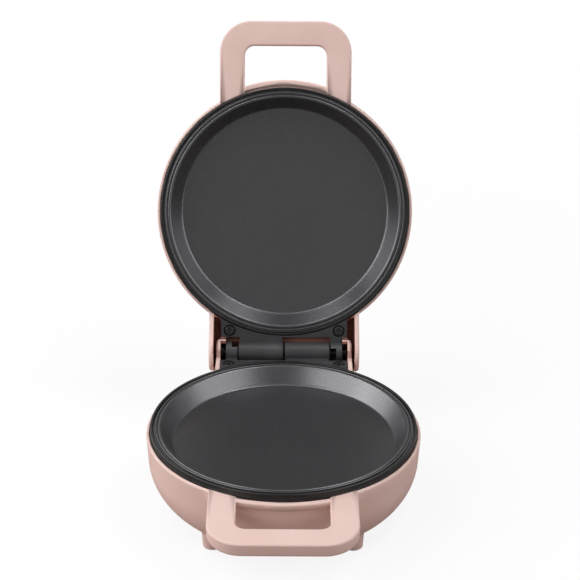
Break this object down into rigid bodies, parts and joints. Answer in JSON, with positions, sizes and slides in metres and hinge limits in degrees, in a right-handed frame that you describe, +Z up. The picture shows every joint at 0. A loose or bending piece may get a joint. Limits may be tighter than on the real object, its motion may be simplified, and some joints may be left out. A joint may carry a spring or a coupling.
{
  "type": "mini pancake maker",
  "caption": "Small round countertop pancake cooker with two shallow non-stick pans in soft matte shells, loop handles, a rear hinge and the lid standing open.",
  "frame": {"origin": "middle of the bounding box, on the surface the cooker stands on, lid open", "axes": "+X right as seen from the front, +Y to the back where the hinge is, +Z up; the handles point to the front and up"},
  "size_m": [0.144, 0.2652, 0.2228],
  "materials": {
    "housing": "soft matte",
    "ring": "satin",
    "pan": "charcoal non-stick coating, fine grain",
    "bracket": "satin",
    "screw": "black zinc",
    "inner_screw": "zinc",
    "pin": "plain steel",
    "heater": "heat-darkened sheath",
    "reflector": "bright sheet",
    "rubber": "matte",
    "gland": "matte",
    "thermostat": "phenolic",
    "fuse": "glass-fibre sleeve",
    "terminal": "unglazed",
    "lead": "glass-fibre braid",
    "lens": "clear red",
    "lamp": "white"
  },
  "bodies": {
    "base": {"base_housing": "housing", "base_handle_cover": "housing", "base_handle_screws": "screw", "base_rim_ring": "ring", "base_pan": "pan", "base_heating_element": "heater", "base_reflector": "reflector", "base_pan_screws": "inner_screw", "base_hinge_bracket": "bracket", "base_bracket_screws": "screw", "hinge_pin": "pin", "foot_pads": "rubber", "cord_gland": "gland", "thermostat": "thermostat", "thermostat_screws": "inner_screw", "thermal_fuse": "fuse", "fuse_strap": "reflector", "fuse_strap_screws": "inner_screw", "terminal_block": "terminal", "terminal_block_screw": "inner_screw", "base_leads": "lead"},
    "lid": {"lid_housing": "housing", "lid_handle_cover": "housing", "lid_handle_screws": "screw", "lid_rim_ring": "ring", "lid_pan": "pan", "lid_heating_element": "heater", "lid_reflector": "reflector", "lid_pan_screws": "inner_screw", "lid_hinge_bracket": "bracket", "lid_bracket_screws": "screw", "indicator_lens": "lens", "indicator_lamp": "lamp", "lid_leads": "lead"}
  },
  "joints": [
    {"name": "lid_hinge", "type": "hinge", "parent": "base", "child": "lid", "pos_m": [0, 0.0539, 0.04775], "axis": [1, 0, 0], "range_deg": [0, 108.6]}
  ]
}
